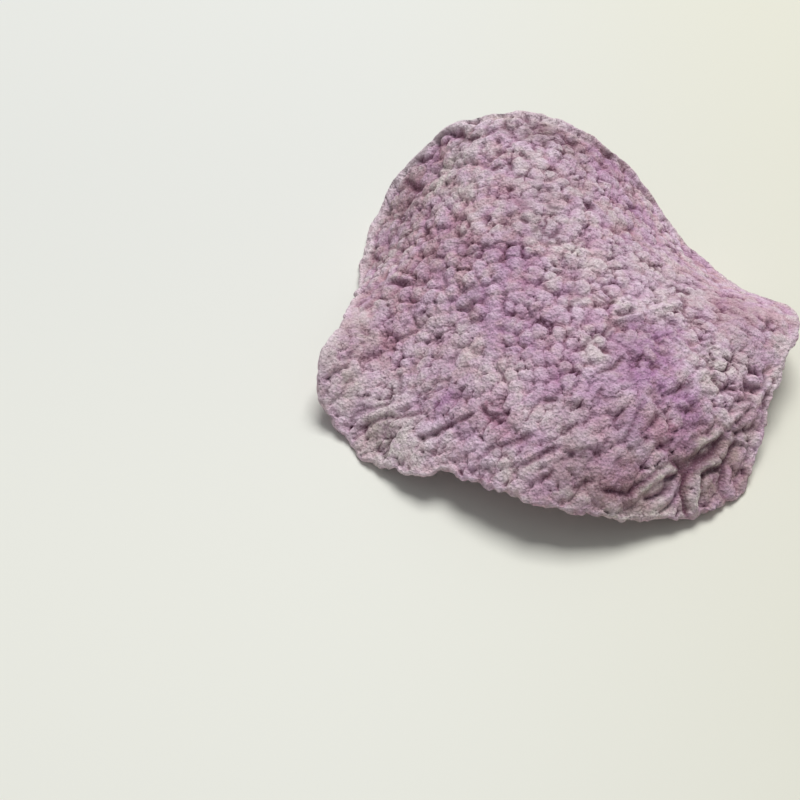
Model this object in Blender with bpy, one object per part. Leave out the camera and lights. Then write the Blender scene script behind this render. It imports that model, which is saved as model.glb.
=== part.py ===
"""One dried slice of purple yam: a thin, warped sheet covered in pebbly lumps, lying on a surface.

The blank is a flat square slab, split into a staggered honeycomb with one lump in each cell. Each
of its points is carried to the slice's outline seen from above, lifted to the height of the warped
sheet, and moved out along the sheet's normal by half the thickness and by the lump's own rise. X runs
along the slice's long side, Y away from its front edge and Z up. The slice stands on four low spots
of its rim, which are flat at Z = 0. Sizes are in millimetres.
"""

import math
import random

import bmesh
import bpy
import numpy as np
from mathutils import Vector, noise

MM = 0.001

THICKNESS = 1.9

# The rim of the sheet seen from above, clockwise from the back: x, y and height of its middle.
RIM = (
    (-4.9, 30.2, 21.5),
    (1.4, 28.9, 20.5),
    (7.8, 27.6, 17.0),
    (12.7, 27.8, 12.5),
    (16.9, 25.6, 7.5),
    (23.1, 20.1, 2.0),
    (26.8, 16.9, 0.3),
    (30.2, 10.7, 2.0),
    (35.2, -1.0, 8.0),
    (30.5, -11.6, 6.0),
    (27.5, -19.2, 3.0),
    (24.2, -25.7, 0.5),
    (18.1, -30.8, 1.3),
    (9.3, -33.3, 3.5),
    (2.5, -34.1, 5.5),
    (-4.8, -32.9, 6.5),
    (-12.7, -29.1, 6.0),
    (-17.2, -25.9, 4.9),
    (-20.1, -26.6, 4.0),
    (-26.4, -22.5, 1.2),
    (-31.1, -17.3, 0.4),
    (-34.8, -12.9, 3.5),
    (-35.2, -8.4, 7.5),
    (-32.2, -2.0, 8.0),
    (-29.9, 10.3, 3.0),
    (-29.1, 20.2, 0.2),
    (-26.9, 28.3, 1.8),
    (-24.2, 32.5, 5.5),
    (-20.1, 33.2, 10.0),
    (-15.7, 33.2, 15.5),
    (-10.7, 31.4, 19.5),
)

# The lie of the sheet inside the rim: x, y and height of a few places on it.
CROWN = (
    (-5.5, 16.0, 20.5),
    (-19.5, 19.5, 10.5),
    (-13.5, 5.5, 16.5),
    (-0.5, 3.5, 18.0),
    (9.5, 9.0, 15.0),
    (-27.5, -6.0, 6.0),
    (-12.0, -8.0, 13.5),
    (1.5, -10.0, 15.5),
    (16.5, -6.0, 12.5),
    (26.0, -8.5, 10.0),
    (-20.5, -12.5, 8.0),
    (-23.5, -19.5, 5.0),
    (-4.5, -21.5, 12.0),
    (10.5, -22.5, 11.0),
    (21.0, -20.5, 6.5),
    (3.5, -30.5, 8.0),
)

# The lumps that cover both faces: how many, how high above the gaps between them, and how uneven.
LUMPS_IN_ROW = 16
LUMP_ROWS = 18
LUMP_RISE = 0.85
LUMP_SINK = 0.45
SHOULDER_RISE = 0.72
SHOULDER_WIDTH = 0.36
LUMP_DRIFT = 0.28
LUMP_SEED = 7

# The rim's own small forms: how far its edge is rounded out, and how far it wanders in and out.
RIM_ROUNDING = 0.35
RIM_WANDER = 0.6
WANDER_LENGTH = 5.0
MEAN_REACH = 36.0

CURVE_STEPS = 24
SLOPE_STEP = 0.05

FLESH_COLOUR = (0.52, 0.40, 0.47, 1.0)
FLESH_ROUGHNESS = 0.9


def clear_scene():
    for thing in list(bpy.data.objects):
        bpy.data.objects.remove(thing, do_unlink=True)


def curve_through(points):
    """A closed smooth curve through the points, as a fine list of places on it."""
    places = []
    count = len(points)
    for index in range(count):
        before, here, after, beyond = (points[(index + step) % count] for step in (-1, 0, 1, 2))
        for step in range(CURVE_STEPS):
            t = step / CURVE_STEPS
            places.append(
                0.5 * (2 * here + (after - before) * t
                       + (2 * before - 5 * here + 4 * after - beyond) * t ** 2
                       + (3 * here - before - 3 * after + beyond) * t ** 3)
            )
    return np.array(places)


def bend_energy(distance):
    """The thin plate's kernel, r² log r."""
    safe = np.maximum(distance, 1e-9)
    return safe ** 2 * np.log(safe)


class Sheet:
    """The middle surface of the slice: its outline seen from above and its height at any place."""

    def __init__(self):
        rim = np.array(RIM)
        self.places = np.vstack([rim, np.array(CROWN)])
        self.solve_heights()
        outline = curve_through(rim[:, :2])
        angle = np.arctan2(outline[:, 1], outline[:, 0])
        order = np.argsort(angle)
        self.angle = angle[order]
        self.radius = np.hypot(outline[:, 0], outline[:, 1])[order]

    def solve_heights(self):
        """Finds the thin plate that passes through every place of the rim and the crown."""
        flat = self.places[:, :2]
        count = len(flat)
        system = np.zeros((count + 3, count + 3))
        apart = np.linalg.norm(flat[:, None] - flat[None], axis=2)
        system[:count, :count] = bend_energy(apart)
        system[:count, count] = 1
        system[:count, count + 1:] = flat
        system[count:, :count] = system[:count, count:].T
        wanted = np.concatenate([self.places[:, 2], np.zeros(3)])
        self.weights = np.linalg.solve(system, wanted)

    def height(self, x, y):
        apart = np.hypot(x[:, None] - self.places[:, 0], y[:, None] - self.places[:, 1])
        bent = bend_energy(apart) @ self.weights[:-3]
        return bent + self.weights[-3] + self.weights[-2] * x + self.weights[-1] * y

    def reach(self, angle):
        """How far the outline is from the middle of the slice in each direction."""
        return np.interp(angle, self.angle, self.radius, period=2 * math.pi)

    def normal(self, x, y):
        along = self.height(x + SLOPE_STEP, y) - self.height(x - SLOPE_STEP, y)
        away = self.height(x, y + SLOPE_STEP) - self.height(x, y - SLOPE_STEP)
        up = np.stack([-along, -away, np.full_like(x, 2 * SLOPE_STEP)], axis=1)
        return up / np.linalg.norm(up, axis=1)[:, None]


def grid_step(place, steps):
    """Which line of the blank's grid a coordinate from -1 to 1 lies on."""
    return round((place + 1) / 2 * steps)


def honeycomb(mesh):
    """Joins a grid's squares in pairs, staggered from row to row, and draws the pairs out to hexagons."""
    columns = 2 * LUMPS_IN_ROW
    bmesh.ops.create_grid(mesh, x_segments=columns, y_segments=LUMP_ROWS, size=1)
    walls = []
    for edge in mesh.edges:
        first, second = edge.verts
        column = grid_step(first.co.x, columns)
        row = grid_step(min(first.co.y, second.co.y), LUMP_ROWS)
        upright = column == grid_step(second.co.x, columns)
        if upright and not edge.is_boundary and (column + row) % 2:
            walls.append(edge)
    corners = [vert for vert in mesh.verts if not vert.is_boundary]
    draw = random.Random(LUMP_SEED)
    for vert in corners:
        odd = (grid_step(vert.co.x, columns) + grid_step(vert.co.y, LUMP_ROWS)) % 2
        vert.co.y += (-1 if odd else 1) / (3 * LUMP_ROWS)
        vert.co.x += draw.uniform(-LUMP_DRIFT, LUMP_DRIFT) / LUMPS_IN_ROW
        vert.co.y += draw.uniform(-LUMP_DRIFT, LUMP_DRIFT) / LUMP_ROWS
    bmesh.ops.dissolve_edges(mesh, edges=walls, use_verts=False)


def raise_lumps(mesh, rise):
    """Gives each cell a shoulder and a crown, and notes how high each of them stands."""
    cells = mesh.faces[:]
    bmesh.ops.inset_individual(mesh, faces=cells, thickness=SHOULDER_WIDTH / LUMPS_IN_ROW)
    for vert in {vert for cell in cells for vert in cell.verts}:
        vert[rise] = SHOULDER_RISE
    for vert in bmesh.ops.poke(mesh, faces=cells)["verts"]:
        vert[rise] = 1.0


def blank_slab():
    """The flat slab: its underside at -1, its top at 1 and one row of points round its edge at 0."""
    mesh = bmesh.new()
    rise = mesh.verts.layers.float.new("rise")
    honeycomb(mesh)
    raise_lumps(mesh, rise)
    bmesh.ops.triangulate(mesh, faces=mesh.faces[:])
    bmesh.ops.translate(mesh, verts=mesh.verts[:], vec=(0, 0, -1))
    copied = bmesh.ops.extrude_face_region(mesh, geom=mesh.faces[:], use_keep_orig=True)["geom"]
    top = [item for item in copied if isinstance(item, bmesh.types.BMVert)]
    bmesh.ops.translate(mesh, verts=top, vec=(0, 0, 2))
    walls = [edge for edge in mesh.edges if edge.verts[0].co.z * edge.verts[1].co.z < 0]
    bmesh.ops.subdivide_edges(mesh, edges=walls, cuts=1)
    bmesh.ops.triangulate(mesh, faces=mesh.faces[:])
    bmesh.ops.recalc_face_normals(mesh, faces=mesh.faces[:])
    return mesh, rise


def rim_wander(angle):
    """How far the rim strays in or out of its smooth curve in each direction."""
    turns = MEAN_REACH / WANDER_LENGTH
    spots = [Vector((math.cos(one), math.sin(one), 0)) * turns for one in angle]
    return RIM_WANDER * np.array([noise.noise(spot) for spot in spots])


def place_on_slice(sheet, blank, rise):
    """Carries the blank's points to the slice: outline first, then height, then thickness and lumps."""
    s, t, level = blank.T
    disc_x, disc_y = s * np.sqrt(1 - t * t / 2), t * np.sqrt(1 - s * s / 2)
    ring, angle = np.hypot(disc_x, disc_y), np.arctan2(disc_y, disc_x)
    at_rim = ring > 1 - 1e-6
    reach = sheet.reach(angle) + rim_wander(angle) * ring ** 6
    reach += RIM_ROUNDING * at_rim * (1 - level ** 2)
    x, y = ring * reach * np.cos(angle), ring * reach * np.sin(angle)
    lump = np.where(at_rim, 0.0, LUMP_RISE * rise - LUMP_SINK)
    out = level * (THICKNESS / 2 + lump)
    placed = np.stack([x, y, sheet.height(x, y)], axis=1) + sheet.normal(x, y) * out[:, None]
    placed[:, 2] = np.maximum(placed[:, 2], 0.0)
    return placed


def yam_flesh():
    material = bpy.data.materials.new("dried_yam_flesh")
    material.use_nodes = True
    finish = material.node_tree.nodes["Principled BSDF"]
    finish.inputs["Base Color"].default_value = FLESH_COLOUR
    finish.inputs["Roughness"].default_value = FLESH_ROUGHNESS
    finish.inputs["Metallic"].default_value = 0.0
    return material


def build_slice():
    work, rise = blank_slab()
    blank = np.array([vert.co for vert in work.verts])
    placed = place_on_slice(Sheet(), blank, np.array([vert[rise] for vert in work.verts]))
    for vert, place in zip(work.verts, placed):
        vert.co = Vector(place) * MM
    shape = bpy.data.meshes.new("yam_slice")
    work.to_mesh(shape)
    work.free()
    shape.materials.append(yam_flesh())
    shape.shade_smooth()
    slice_object = bpy.data.objects.new("yam_slice", shape)
    bpy.context.scene.collection.objects.link(slice_object)


clear_scene()
build_slice()
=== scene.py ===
"""The looks of one dried slice of purple yam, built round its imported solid.

The slice is one piece: a fine flat slab whose points are carried to the slice's outline, lifted to
the height of the warped sheet, and moved out along the sheet's normal by the swellings, grains and
wrinkles that cover it. Its flesh is one procedural material that reads the same relief. Sizes of the
slice are in millimetres until they are placed, and the scene is in metres.
"""

import math

import bmesh
import bpy
import numpy as np
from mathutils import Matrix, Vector, noise


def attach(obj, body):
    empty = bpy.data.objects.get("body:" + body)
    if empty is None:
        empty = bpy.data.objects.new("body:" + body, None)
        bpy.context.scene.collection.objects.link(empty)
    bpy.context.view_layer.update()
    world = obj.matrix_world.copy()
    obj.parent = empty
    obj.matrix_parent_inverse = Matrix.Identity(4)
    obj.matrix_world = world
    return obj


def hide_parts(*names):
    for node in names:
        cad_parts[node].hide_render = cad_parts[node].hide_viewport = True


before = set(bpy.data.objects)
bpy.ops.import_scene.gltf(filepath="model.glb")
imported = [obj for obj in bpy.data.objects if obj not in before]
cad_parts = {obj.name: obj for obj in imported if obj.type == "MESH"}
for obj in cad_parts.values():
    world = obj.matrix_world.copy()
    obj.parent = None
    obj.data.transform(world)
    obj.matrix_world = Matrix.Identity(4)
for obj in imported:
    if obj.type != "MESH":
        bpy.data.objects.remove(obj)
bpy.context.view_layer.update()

MM = 0.001

# The sheet, as in the solid: its thickness, and its rim and crown as x, y and height of the middle.
THICKNESS = 1.9
RIM = (
    (-4.9, 30.2, 21.5),
    (1.4, 28.9, 20.5),
    (7.8, 27.6, 17.0),
    (12.7, 27.8, 12.5),
    (16.9, 25.6, 7.5),
    (23.1, 20.1, 2.0),
    (26.8, 16.9, 0.3),
    (30.2, 10.7, 2.0),
    (35.2, -1.0, 8.0),
    (30.5, -11.6, 6.0),
    (27.5, -19.2, 3.0),
    (24.2, -25.7, 0.5),
    (18.1, -30.8, 1.3),
    (9.3, -33.3, 3.5),
    (2.5, -34.1, 5.5),
    (-4.8, -32.9, 6.5),
    (-12.7, -29.1, 6.0),
    (-17.2, -25.9, 4.9),
    (-20.1, -26.6, 4.0),
    (-26.4, -22.5, 1.2),
    (-31.1, -17.3, 0.4),
    (-34.8, -12.9, 3.5),
    (-35.2, -8.4, 7.5),
    (-32.2, -2.0, 8.0),
    (-29.9, 10.3, 3.0),
    (-29.1, 20.2, 0.2),
    (-26.9, 28.3, 1.8),
    (-24.2, 32.5, 5.5),
    (-20.1, 33.2, 10.0),
    (-15.7, 33.2, 15.5),
    (-10.7, 31.4, 19.5),
)
CROWN = (
    (-5.5, 16.0, 20.5),
    (-19.5, 19.5, 10.5),
    (-13.5, 5.5, 16.5),
    (-0.5, 3.5, 18.0),
    (9.5, 9.0, 15.0),
    (-27.5, -6.0, 6.0),
    (-12.0, -8.0, 13.5),
    (1.5, -10.0, 15.5),
    (16.5, -6.0, 12.5),
    (26.0, -8.5, 10.0),
    (-20.5, -12.5, 8.0),
    (-23.5, -19.5, 5.0),
    (-4.5, -21.5, 12.0),
    (10.5, -22.5, 11.0),
    (21.0, -20.5, 6.5),
    (3.5, -30.5, 8.0),
)

# The slab's cells: many on the top face, half as many each way underneath, and rows round the edge.
UNDER_CELLS = 132
TOP_CELLS = 2 * UNDER_CELLS
EDGE_ROWS = 6
OUTERMOST = 1 - 1e-6
MERGE_SHARE = 0.1

# The relief: the width across one form and how far it rises, and how sharply the forms are parted.
SWELL_WIDTH, SWELL_RISE, SWELL_PARTED = 4.2, 0.32, 8.0
GRAIN_WIDTH, GRAIN_RISE = 1.95, 0.72
KNOB_WIDTH, KNOB_RISE, KNOB_PARTED = 0.85, 0.11, 12.0
FUSED, PARTED = 11.0, 28.0
FUSED_GAP, FUSED_HOLE = 0.5, 0.4
FUSE_LENGTH = 3.2
TOP_SHARE, TOP_POWER = 0.4, 1.5
DOME_MEAN, GRAIN_MEAN = 0.75, 0.8
GAP_SPREAD, GAP_DEPTH = 0.08, 0.26
PIT_SPREAD, PIT_DEPTH, PIT_SHARE = 0.17, 0.7, 0.68
MOST_SINK = 0.95
# The heights over which the flesh is painted from deep in the hollows to pale on the tops, partly as
# painted shade and painted highlight.
HIGH_FLESH, HIGH_EDGE = (-0.5, 0.22), (-0.6, 0.3)

# The noise: how far places stray, the shifts that keep one use of it apart from another, and a mix
# that turns a grain's place into its tone.
STRAY_SEED = 3
STRAY_LENGTH, STRAY = 2.6, 0.6
FINE_STRAY_LENGTH, FINE_STRAY = 0.8, 0.2
TINT_STRAY = (3.0, 1.6), (1.0, 0.7)
STREAK_STRAY = 1.5, 0.5
KNOB_SHIFT, FOLD_SHIFT, OPEN_SHIFT, CREASE_SHIFT = 5.0, 7.0, 11.0, 23.0
UNDERSIDE_SHIFT = np.array((31.0, 17.0, 53.0))
TONE_MIX, TONE_SPREAD = (12.99, 78.23, 37.72), 437.58

# Where the grains are drawn out to folds: direction in degrees from above and how much narrower than
# long they are, then x, y, radius and strength of each place where that is so.
FOLDS = (
    (40.0, 0.42, ((-22.0, -18.0, 11.0, 1.0), (-8.0, -25.0, 9.0, 0.9), (5.0, -24.0, 9.0, 0.75),
                  (14.0, -28.0, 7.0, 1.0), (16.0, -17.0, 6.0, 0.7))),
    (-30.0, 0.4, ((27.0, -1.0, 8.0, 1.0), (22.0, 8.0, 6.0, 0.7))),
    (85.0, 0.36, ((24.0, -26.0, 3.5, 1.1), (18.0, -30.5, 2.5, 0.9), (-31.5, 3.0, 5.0, 0.8))),
)
FOLD_LENGTH, FOLD_UNEVEN = 4.0, 0.3
FOLD_BORDER = 0.3, 0.65
FOLD_PARTED, FOLD_FINENESS = 26.0, 0.85

# Where the relief is lower: x, y, radius and by how much.
CALM = (
    (-25.0, -18.0, 13.0, 0.3),
    (-33.0, -3.0, 7.0, 0.25),
    (24.0, 9.0, 9.0, 0.4),
    (31.0, -1.0, 6.0, 0.3),
    (-4.0, -27.0, 10.0, 0.25),
    (8.0, -28.0, 9.0, 0.2),
    (24.0, -8.0, 5.0, 0.5),
    (0.0, 20.0, 13.0, 0.2),
)

# Creases that the camera sees: depth and half width, then the points of its picture, column and row,
# that each runs through.
PICTURE_SIZE = 800.0
# Each crease's depth also sets how dark it is painted: partly the flesh's own colour, partly painted shade.
FOLD_CREASES = (
    (0.7, 0.3, ((578, 351), (584, 347), (589, 341), (596, 337))),
    (0.8, 0.35, ((600, 335), (606, 332), (609, 327), (615, 324), (624, 322), (634, 322), (642, 318))),
    (1.0, 0.3, ((617, 312), (622, 315), (628, 313), (634, 313))),
    (0.5, 0.3, ((624, 284), (625, 292), (627, 300), (635, 301))),
    (1.1, 0.35, ((668, 286), (674, 284), (679, 290), (689, 292))),
    (0.9, 0.35, ((599, 372), (606, 369), (614, 367), (618, 362), (623, 357))),
    (0.5, 0.3, ((645, 327), (647, 335), (650, 339), (657, 337))),
    (0.6, 0.3, ((700, 337), (707, 339), (714, 336))),
    (0.6, 0.3, ((567, 311), (570, 306), (573, 302), (579, 300))),
    (0.6, 0.3, ((565, 297), (569, 292), (576, 285))),
    (0.5, 0.3, ((563, 337), (569, 333), (577, 328))),
    (0.6, 0.3, ((692, 348), (700, 351), (706, 348), (714, 344))),
    (0.6, 0.35, ((568, 279), (575, 278))),
    (0.9, 0.3, ((764, 331), (768, 326), (769, 320))),
)
SHELF_CREASES = (
    (0.8, 0.4, ((621, 338), (624, 333), (626, 329))),
    (0.7, 0.35, ((641, 328), (645, 325), (647, 323))),
    (0.6, 0.35, ((592, 332), (597, 332))),
    (0.8, 0.4, ((660, 317), (666, 317))),
    (0.8, 0.35, ((671, 321), (675, 324))),
    (0.8, 0.35, ((688, 321), (693, 320))),
    (0.6, 0.35, ((675, 341), (680, 345))),
    (0.6, 0.35, ((660, 343), (665, 342))),
    (0.7, 0.4, ((628, 352), (633, 352), (637, 356))),
    (0.6, 0.35, ((633, 358), (641, 360), (650, 359))),
    (0.8, 0.45, ((653, 367), (659, 366))),
    (0.6, 0.35, ((657, 351), (664, 354), (670, 353))),
    (0.6, 0.3, ((605, 348), (609, 353))),
    (0.6, 0.35, ((631, 372), (631, 379), (629, 384))),
    (0.9, 0.5, ((680, 388), (687, 387), (691, 384))),
    (0.6, 0.3, ((700, 393), (705, 394), (712, 394))),
    (0.6, 0.35, ((716, 377), (717, 383))),
    (0.8, 0.4, ((680, 409), (696, 410))),
    (0.8, 0.4, ((653, 425), (656, 420), (659, 416))),
    (0.6, 0.4, ((661, 415), (667, 413))),
    (0.7, 0.35, ((609, 412), (614, 418))),
    (0.6, 0.35, ((614, 429), (619, 427), (623, 423))),
    (0.6, 0.35, ((623, 410), (623, 417))),
    (0.9, 0.4, ((642, 437), (648, 438))),
)
RIGHT_CREASES = (
    (0.7, 0.3, ((731, 410), (734, 403), (741, 400), (751, 399))),
    (0.7, 0.3, ((730, 428), (737, 426), (743, 418), (750, 409), (752, 402))),
    (0.8, 0.35, ((735, 437), (741, 432), (750, 430), (755, 425))),
    (0.8, 0.35, ((765, 371), (766, 379), (762, 388), (753, 389), (745, 386))),
    (0.7, 0.3, ((769, 393), (768, 402), (765, 413), (763, 421))),
    (0.6, 0.3, ((648, 397), (651, 393), (660, 392), (662, 388))),
    (0.7, 0.3, ((664, 395), (675, 391), (684, 388), (691, 381))),
    (0.4, 0.3, ((673, 408), (685, 409), (698, 409))),
    (0.6, 0.3, ((690, 440), (698, 436), (713, 432))),
    (0.5, 0.3, ((683, 427), (694, 424), (706, 424))),
    (0.7, 0.3, ((642, 400), (639, 410), (635, 421), (630, 431), (626, 439))),
    (0.8, 0.35, ((630, 449), (640, 446), (648, 439))),
    (0.7, 0.3, ((655, 446), (664, 447), (673, 441))),
)
CORNER_CREASES = (
    (1.4, 0.35, ((597, 490), (607, 492), (618, 494), (630, 496), (636, 488), (645, 481))),
    (0.5, 0.3, ((615, 488), (618, 481), (626, 479), (634, 478))),
    (1.6, 0.6, ((672, 462), (684, 471), (694, 467), (704, 459), (715, 453), (719, 445), (723, 436))),
    (0.8, 0.35, ((645, 481), (655, 473), (668, 462))),
    (0.6, 0.3, ((649, 499), (657, 498), (664, 495), (667, 488))),
    (1.8, 0.4, ((691, 472), (686, 480), (684, 491), (686, 502), (688, 514))),
    (1.5, 0.4, ((701, 486), (701, 476), (707, 469), (720, 470), (728, 461), (733, 450), (737, 444))),
    (1.6, 0.4, ((726, 467), (723, 478), (722, 489), (725, 497))),
    (0.6, 0.3, ((744, 473), (746, 482), (740, 490))),
    (0.8, 0.3, ((668, 477), (676, 475), (682, 470))),
    (0.8, 0.3, ((702, 450), (710, 446), (719, 440))),
    (0.7, 0.3, ((745, 463), (748, 457), (750, 449))),
)
MIDDLE_CREASES = (
    (0.9, 0.35, ((482, 409), (487, 415), (493, 417), (500, 415), (508, 413))),
    (0.6, 0.35, ((489, 402), (494, 407), (500, 404))),
    (0.8, 0.4, ((488, 449), (496, 446), (504, 445), (514, 441), (527, 435))),
    (0.6, 0.3, ((478, 459), (485, 455), (491, 450))),
    (0.6, 0.35, ((513, 427), (515, 432), (511, 438))),
    (0.8, 0.35, ((521, 467), (527, 464), (534, 460), (541, 456), (547, 451), (553, 450))),
    (0.6, 0.3, ((499, 469), (506, 466), (513, 467), (521, 467))),
    (0.7, 0.3, ((539, 470), (543, 467), (548, 468), (552, 472), (549, 477), (543, 476))),
    (0.6, 0.3, ((559, 461), (567, 459), (573, 454))),
    (0.7, 0.35, ((581, 457), (584, 452), (591, 450), (597, 455), (602, 449), (608, 439))),
    (0.6, 0.35, ((573, 488), (584, 486), (594, 480))),
    (1.3, 0.35, ((545, 400), (550, 401), (555, 400))),
    (0.8, 0.3, ((502, 404), (504, 399))),
    (0.7, 0.3, ((553, 397), (558, 393), (562, 388))),
    (0.7, 0.35, ((567, 404), (575, 405), (583, 408))),
    (0.7, 0.3, ((593, 401), (598, 396), (603, 389))),
    (0.6, 0.3, ((607, 400), (612, 397), (621, 397))),
    (0.6, 0.35, ((471, 471), (478, 467), (487, 469), (491, 475))),
    (0.6, 0.3, ((614, 466), (618, 463), (621, 458))),
)
LEFT_CREASES = (
    (0.8, 0.35, ((373, 423), (381, 419), (391, 417), (401, 415), (412, 415), (419, 411))),
    (0.6, 0.3, ((363, 410), (373, 409), (384, 406), (393, 401))),
    (0.9, 0.3, ((417, 437), (423, 440), (432, 435), (440, 430), (450, 426), (462, 420), (472, 414))),
    (0.6, 0.3, ((357, 396), (361, 399), (369, 396))),
    (0.7, 0.35, ((340, 357), (346, 358), (351, 353), (357, 349))),
    (0.7, 0.35, ((364, 357), (370, 354), (379, 352), (392, 349))),
    (0.6, 0.35, ((361, 332), (369, 334), (376, 331))),
    (0.8, 0.35, ((390, 342), (399, 339), (408, 334), (414, 330))),
    (0.6, 0.3, ((381, 449), (386, 445), (389, 441))),
    (0.6, 0.4, ((371, 441), (378, 437), (388, 433))),
    (0.6, 0.4, ((354, 437), (356, 431), (365, 427))),
    (0.7, 0.4, ((399, 377), (401, 385), (399, 393))),
    (0.6, 0.45, ((411, 392), (420, 393), (429, 389))),
    (0.7, 0.35, ((432, 384), (437, 381), (449, 380))),
    (0.6, 0.35, ((384, 426), (388, 429), (395, 430))),
    (0.5, 0.3, ((455, 437), (463, 433), (471, 430))),
    (0.6, 0.4, ((351, 421), (354, 415), (362, 411))),
    (0.6, 0.3, ((432, 340), (435, 338), (440, 333))),
    (0.6, 0.3, ((450, 360), (456, 354), (461, 349))),
)
# The dark line under the rolled lip is painted shadow.
LIP_CREASES = (
    (1.2, 0.6, ((405, 181), (410, 184), (413, 188), (418, 188))),
    (1.0, 0.5, ((458, 133), (464, 137), (470, 139), (477, 137))),
    (0.7, 0.35, ((417, 161), (423, 161), (430, 156), (436, 148), (436, 140), (445, 134), (452, 133))),
    (0.6, 0.3, ((456, 152), (457, 146), (458, 142))),
    (0.6, 0.3, ((485, 133), (487, 128), (489, 124))),
    (0.6, 0.3, ((441, 160), (440, 167), (436, 173), (433, 179))),
    (0.6, 0.3, ((455, 163), (457, 168))),
    (0.6, 0.3, ((393, 214), (398, 211), (404, 208), (407, 203))),
    (0.5, 0.3, ((380, 227), (386, 223), (392, 217))),
    (0.6, 0.4, ((427, 211), (430, 218), (433, 214))),
    (0.6, 0.3, ((398, 218), (401, 221), (404, 219))),
    (0.6, 0.35, ((483, 144), (484, 147))),
)
BEAD_CREASES = (
    (0.9, 0.4, ((505, 121), (505, 128), (511, 131), (517, 129), (517, 123))),
    (0.8, 0.4, ((527, 115), (528, 120), (530, 124))),
    (0.9, 0.5, ((534, 127), (540, 124), (546, 128))),
    (0.8, 0.45, ((520, 139), (526, 136), (527, 132))),
    (0.9, 0.5, ((552, 133), (558, 131), (565, 137), (572, 141))),
    (0.6, 0.4, ((557, 142), (562, 144), (568, 148))),
    (0.7, 0.4, ((574, 147), (578, 143), (575, 138))),
    (0.6, 0.4, ((584, 151), (592, 150), (598, 149))),
    (0.9, 0.6, ((606, 155), (613, 155))),
    (0.6, 0.4, ((620, 166), (626, 173), (632, 178))),
    (0.8, 0.4, ((643, 178), (647, 186))),
    (0.5, 0.4, ((634, 183), (642, 190), (648, 197), (656, 203))),
    (0.5, 0.35, ((599, 181), (601, 188), (606, 191))),
    (0.6, 0.4, ((628, 205), (637, 208))),
    (0.7, 0.4, ((662, 220), (667, 226))),
)
DOME_CREASES = (
    (0.9, 0.4, ((497, 151), (499, 154))),
    (1.0, 0.45, ((492, 168), (498, 166))),
    (0.8, 0.35, ((509, 162), (510, 168))),
    (0.8, 0.35, ((516, 178), (521, 176))),
    (1.0, 0.4, ((508, 188), (512, 190))),
    (0.7, 0.35, ((523, 154), (527, 158))),
    (0.8, 0.35, ((550, 169), (555, 168))),
    (0.6, 0.3, ((556, 156), (560, 158))),
    (0.6, 0.3, ((541, 191), (546, 191), (551, 189))),
    (0.7, 0.35, ((549, 203), (551, 208), (557, 209))),
    (1.1, 0.5, ((587, 203), (593, 207))),
    (0.7, 0.35, ((573, 223), (583, 222))),
    (0.8, 0.35, ((522, 218), (527, 221))),
    (0.8, 0.4, ((534, 231), (540, 227))),
    (0.8, 0.4, ((542, 230), (547, 236), (553, 237), (558, 230))),
    (0.7, 0.35, ((556, 239), (560, 242))),
    (0.6, 0.3, ((573, 244), (578, 242), (583, 240))),
    (0.7, 0.35, ((564, 256), (566, 262))),
    (0.7, 0.35, ((553, 263), (556, 267))),
    (0.6, 0.3, ((611, 250), (615, 252))),
    (0.7, 0.4, ((443, 184), (447, 185))),
    (0.8, 0.4, ((484, 221), (488, 218))),
    (0.7, 0.35, ((455, 235), (460, 238), (464, 232))),
    (0.8, 0.35, ((470, 253), (475, 251), (481, 248), (486, 245))),
    (0.6, 0.3, ((489, 187), (488, 191))),
    (0.6, 0.3, ((516, 202), (523, 204))),
    (0.5, 0.3, ((501, 222), (507, 222), (506, 229))),
    (0.5, 0.3, ((513, 238), (518, 236))),
)
FLANK_CREASES = (
    (0.8, 0.35, ((424, 227), (426, 232), (430, 234), (428, 240))),
    (0.8, 0.35, ((431, 254), (434, 257), (440, 258), (443, 256))),
    (0.9, 0.45, ((390, 281), (396, 281), (402, 282), (409, 283))),
    (0.6, 0.4, ((413, 282), (424, 281))),
    (0.7, 0.35, ((418, 261), (416, 266))),
    (0.6, 0.35, ((371, 252), (376, 259), (381, 262))),
    (0.6, 0.35, ((366, 283), (368, 288))),
    (0.6, 0.35, ((361, 310), (366, 306), (371, 303))),
    (0.6, 0.3, ((380, 297), (387, 299), (392, 298))),
    (0.8, 0.4, ((464, 289), (471, 288), (474, 284))),
    (0.6, 0.3, ((474, 288), (480, 292))),
    (0.7, 0.35, ((459, 307), (464, 307), (470, 304))),
    (0.6, 0.35, ((410, 308), (418, 306))),
    (0.5, 0.3, ((440, 304), (446, 300), (451, 298))),
    (0.6, 0.3, ((488, 284), (494, 280), (500, 279))),
    (0.6, 0.35, ((498, 330), (504, 328), (510, 328))),
    (0.6, 0.45, ((463, 323), (478, 322))),
    (0.5, 0.3, ((420, 319), (422, 313), (427, 309))),
    (0.6, 0.3, ((388, 325), (393, 322))),
    (0.5, 0.3, ((500, 312), (503, 306))),
    (0.6, 0.3, ((403, 327), (407, 324))),
)
CREASES = (FOLD_CREASES + SHELF_CREASES + RIGHT_CREASES + CORNER_CREASES + MIDDLE_CREASES + LEFT_CREASES
           + LIP_CREASES + BEAD_CREASES + DOME_CREASES + FLANK_CREASES)

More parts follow.
